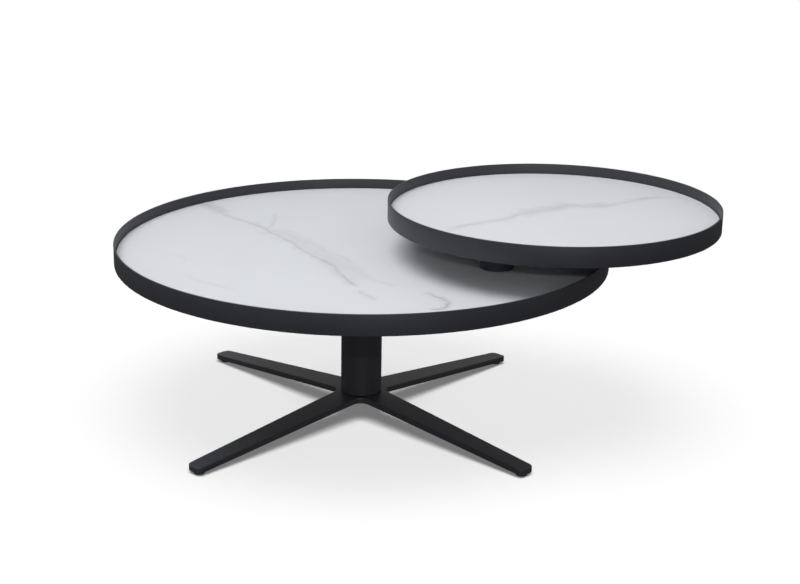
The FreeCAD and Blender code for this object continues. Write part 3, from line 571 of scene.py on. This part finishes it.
def turned_metal(name, dark, light, roughness):
    """Metal from the lathe: fine rings round the swivel axis, drawn at a coarse feed so that they show."""
    material, tree, shader = new_material(name)
    own = node(tree, "ShaderNodeTexCoord", {})["Object"]
    place = node(tree, "ShaderNodeMapping", {"Vector": own, "Location": (swivel_axis.x, swivel_axis.y, 0)},
                 vector_type="TEXTURE")["Vector"]
    rings = node(tree, "ShaderNodeTexWave", {
        "Vector": place, "Scale": LATHE_FEED, "Distortion": 0.6, "Detail": 2.0},
        wave_type="RINGS", rings_direction="SPHERICAL")["Fac"]
    tone = node(tree, "ShaderNodeMix", {
        MIX_FACTOR: rings, MIX_FROM: linear(dark), MIX_TO: linear(light)}, data_type="RGBA")[MIXED]
    tool = node(tree, "ShaderNodeBump", {"Height": rings, "Strength": 0.3, "Distance": 0.03 * MM})["Normal"]
    feed(tree, shader, {"Base Color": tone, "Roughness": roughness, "Metallic": 1.0, "Normal": tool})
    return material


finish_nodes(("spindle",), turned_metal("turned_carbon_steel", STEEL_DARK, STEEL_LIGHT, roughness=0.34))
bronze = turned_metal("turned_bearing_bronze", BRONZE_DARK, BRONZE_LIGHT, roughness=0.38)
finish_nodes(("lower_bush", "upper_bush"), bronze)
finish_nodes(("thrust_washer",), nylon)
finish_nodes(("retaining_washer", "retaining_bolt"), zinc)

# Turning post: a thick steel tube that hides the bearing, with a round plate welded on its upper end.
# The small tray is bolted to that plate from below, and post and plate are coated with it.
POST_RADIUS = 30.0
POST_EDGE_ROUND = 0.6
PLATE_EDGE_ROUND = 0.8
POST_STEPS = 120
POST_BORE_RADIUS = 19.15
POST_RELIEF_RADIUS = 25.0
POST_SHOULDER = 5.8
low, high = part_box("turning_post")
base, top = low[2] / MM, high[2] / MM
post = turned_piece("swivel_post_sleeve", swivel_axis, (
    (POST_RELIEF_RADIUS, base, POST_EDGE_ROUND),
    (POST_RADIUS, base, POST_EDGE_ROUND),
    (POST_RADIUS, top, 0),
    (POST_BORE_RADIUS, top, 0),
    (POST_BORE_RADIUS, base + POST_SHOULDER, 0),
    (POST_RELIEF_RADIUS, base + POST_SHOULDER, 0)), POST_STEPS)
hand_over(post, "turning_post", "swivel_tray", powder_coat)
low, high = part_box("swivel_plate")
base, top = low[2] / MM, high[2] / MM
plate_radius = (high[0] - low[0]) / 2 / MM
plate = turned_piece("swivel_plate_disc", swivel_axis, (
    (POST_RELIEF_RADIUS, base, 0),
    (plate_radius, base, PLATE_EDGE_ROUND),
    (plate_radius, top, PLATE_EDGE_ROUND),
    (POST_RELIEF_RADIUS, top, 0)), POST_STEPS)
hand_over(plate, "swivel_plate", "swivel_tray", powder_coat)
finish_nodes(("swivel_bolts", "swivel_washers", "swivel_weld_nuts"), zinc)

# Small tray: made like the large one, and carried by the turning post off its middle so that it swings out.
# Its slab has one vein, from the front left to the far right, with a pale smear at its middle.
SMALL_VEINS = (
    ((-202, -136), (272, 103), ((0.13, 18), (0.25, 22), (0.36, 42), (0.46, 41), (0.54, 53), (0.61, 28),
                                (0.67, 26), (0.74, 31), (0.88, 38), (0.95, 23)), 8, 16, 0.34, 0.12),
    ((-64, -27), (115, 59), ((0.2, 13), (0.39, 16), (0.59, 23), (0.77, 4)), 13, 26, 0.28, 0.19),
)
tray_rim("small_rim_band", "small_rim", "swivel_tray")
small_ceramic = marbled_ceramic("marbled_stoneware_small", middle_of("small_rim"), SMALL_VEINS)
tray_slab("small_slab", "small_ceramic_top", "swivel_tray", small_ceramic)
joint_strip("small_joint_bead", "small_joint_strip", "swivel_tray")
finish_nodes(("small_pan",), powder_coat)
finish_nodes(("small_core_board",), fibreboard)

# Studio: a plain white floor under a pale sky, in metres. A white wall all round hides the sky's edge in
# low views, and takes no part in the lighting.
FLOOR_SIZE = 60.0
FLOOR_PALE = "#767676"
FLOOR_GLOW = 0.162
WALL_RADIUS = 28.0
WALL_HEIGHT = 40.0
WALL_STEPS = 96
SKY_FRONT = 0.46
SKY_BACK = 0.41
SKY_BELOW = 0.08
WHITE = (1, 1, 1, 1)
BLACK = (0, 0, 0, 1)
bpy.ops.object.select_all(action="DESELECT")
bpy.ops.mesh.primitive_plane_add(size=FLOOR_SIZE)
floor = bpy.context.object
floor.name = "studio_floor"
floor_paint, tree, shader = new_material("white_floor_paint")
feed(tree, shader, {"Base Color": linear(FLOOR_PALE), "Roughness": 0.9, "Specular IOR Level": 0.0,
                    "Emission Color": WHITE, "Emission Strength": FLOOR_GLOW})
floor.data.materials.append(floor_paint)
floor.visible_diffuse = False
floor.visible_glossy = False
bpy.ops.mesh.primitive_cylinder_add(vertices=WALL_STEPS, radius=WALL_RADIUS, depth=WALL_HEIGHT,
                                    end_fill_type="NOTHING", location=(0, 0, WALL_HEIGHT / 2))
wall = bpy.context.object
wall.name = "studio_wall"
wall_paint, tree, shader = new_material("white_wall_paint")
feed(tree, shader, {"Base Color": BLACK, "Specular IOR Level": 0.0, "Emission Color": WHITE,
                    "Emission Strength": 1.0})
wall.data.materials.append(wall_paint)
wall.visible_diffuse = False
wall.visible_glossy = False
wall.visible_shadow = False

# The sky is a little brighter on the camera's side than behind the table, and dark below the horizon.
scene = bpy.context.scene
scene.view_settings.view_transform = "Standard"
sky = bpy.data.worlds.new("studio_sky")
sky.use_nodes = True
tree = sky.node_tree
heading = node(tree, "ShaderNodeSeparateXYZ", {"Vector": node(tree, "ShaderNodeTexCoord", {})["Generated"]})
glow = node(tree, "ShaderNodeMapRange", {
    "Value": heading["Y"], "From Min": -0.6, "From Max": 0.9,
    "To Min": SKY_FRONT, "To Max": SKY_BACK})["Result"]
glow = node(tree, "ShaderNodeMapRange", {
    "Value": heading["Z"], "From Min": -0.05, "From Max": 0.10,
    "To Min": SKY_BELOW, "To Max": glow})["Result"]
feed(tree, tree.nodes["Background"], {"Color": WHITE, "Strength": glow})
scene.world = sky

# Lights of the table: a broad soft one overhead that leans to the left, a small dim one just above the
# camera, whose sharp shade shows under the small tray and at the top of the column, and a weak low one that
# reaches under the small tray. Stands and aims are in metres.
TABLE_TOP = (0.0, 0.0, 0.35)


def add_light(name, kind, energy, stand, aim, **settings):
    """Adds a light that looks from its stand at its aim."""
    lamp = bpy.data.lights.new(name, kind)
    lamp.energy = energy
    for setting, value in settings.items():
        setattr(lamp, setting, value)
    light = bpy.data.objects.new(name, lamp)
    scene.collection.objects.link(light)
    light.location = stand
    light.rotation_euler = (Vector(aim) - Vector(stand)).to_track_quat("-Z", "Y").to_euler()
    return light


def group_of(name, pieces):
    """A collection of pieces that a light is tied to."""
    group = bpy.data.collections.new(name)
    for piece in pieces:
        group.objects.link(piece)
    return group


front_light = add_light("front_light", "POINT", energy=32, stand=(-0.101, -2.41, 1.195), aim=TABLE_TOP,
                        shadow_soft_size=0.01)
top_light = add_light("top_light", "SUN", energy=2.32, stand=(-0.72, -0.04, 2.2), aim=TABLE_TOP,
                      angle=math.radians(47))
low_light = add_light("low_light", "SUN", energy=0.24, stand=(0.5, -2.1, 0.81), aim=TABLE_TOP,
                      angle=math.radians(20))
table = [piece for piece in scene.objects if piece.type == "MESH" and piece not in (floor, wall)]
lit_table = group_of("lit_table", table)
for light in (front_light, top_light, low_light):
    light.light_linking.receiver_collection = lit_table
# The rims don't shade the overhead light, because in the photograph the slabs stay bright right up to them.
rimless_table = [piece for piece in table if "rim" not in piece.name]
top_light.light_linking.blocker_collection = group_of("shades_table", rimless_table)

# Lights of the floor: a strong one that only star and column shade, and a weaker one that the whole table
# shades, which gives the wide soft shadow of the trays.
FLOOR_MIDDLE = (0.0, 0.0, 0.0)
floor_light = add_light("floor_light", "SUN", energy=11.5, stand=(0.0, -0.9, 2.2), aim=FLOOR_MIDDLE,
                        angle=math.radians(46))
tray_shade_light = add_light("tray_shade_light", "SUN", energy=3.0, stand=(0.0, -0.53, 2.2),
                             aim=FLOOR_MIDDLE, angle=math.radians(40))
lit_floor = group_of("lit_floor", [floor])
for light in (floor_light, tray_shade_light):
    light.light_linking.receiver_collection = lit_floor
floor_light.light_linking.blocker_collection = group_of("shades_floor", [star, column])

# Camera: fitted to the rims and the column of the photograph, whose frame is 800 pixels wide.
# Its stand is in metres and its angles are in radians.
CAMERA_STAND = (-0.10679, -2.74540, 1.11876)
CAMERA_PITCH = 0.3091
CAMERA_YAW = 0.0291
CAMERA_ROLL = 0.0177
SENSOR_WIDTH = 36.0
FRAME_WIDTH = 800
FOCAL_PIXELS = 1554.65
lens = bpy.data.cameras.new("photo_camera")
lens.sensor_width = SENSOR_WIDTH
lens.lens = FOCAL_PIXELS * SENSOR_WIDTH / FRAME_WIDTH
camera = bpy.data.objects.new("photo_camera", lens)
scene.collection.objects.link(camera)
aim = Matrix.Rotation(-CAMERA_YAW, 4, "Z") @ Matrix.Rotation(math.pi / 2 - CAMERA_PITCH, 4, "X")
camera.matrix_world = Matrix.Translation(CAMERA_STAND) @ aim @ Matrix.Rotation(CAMERA_ROLL, 4, "Z")
scene.camera = camera
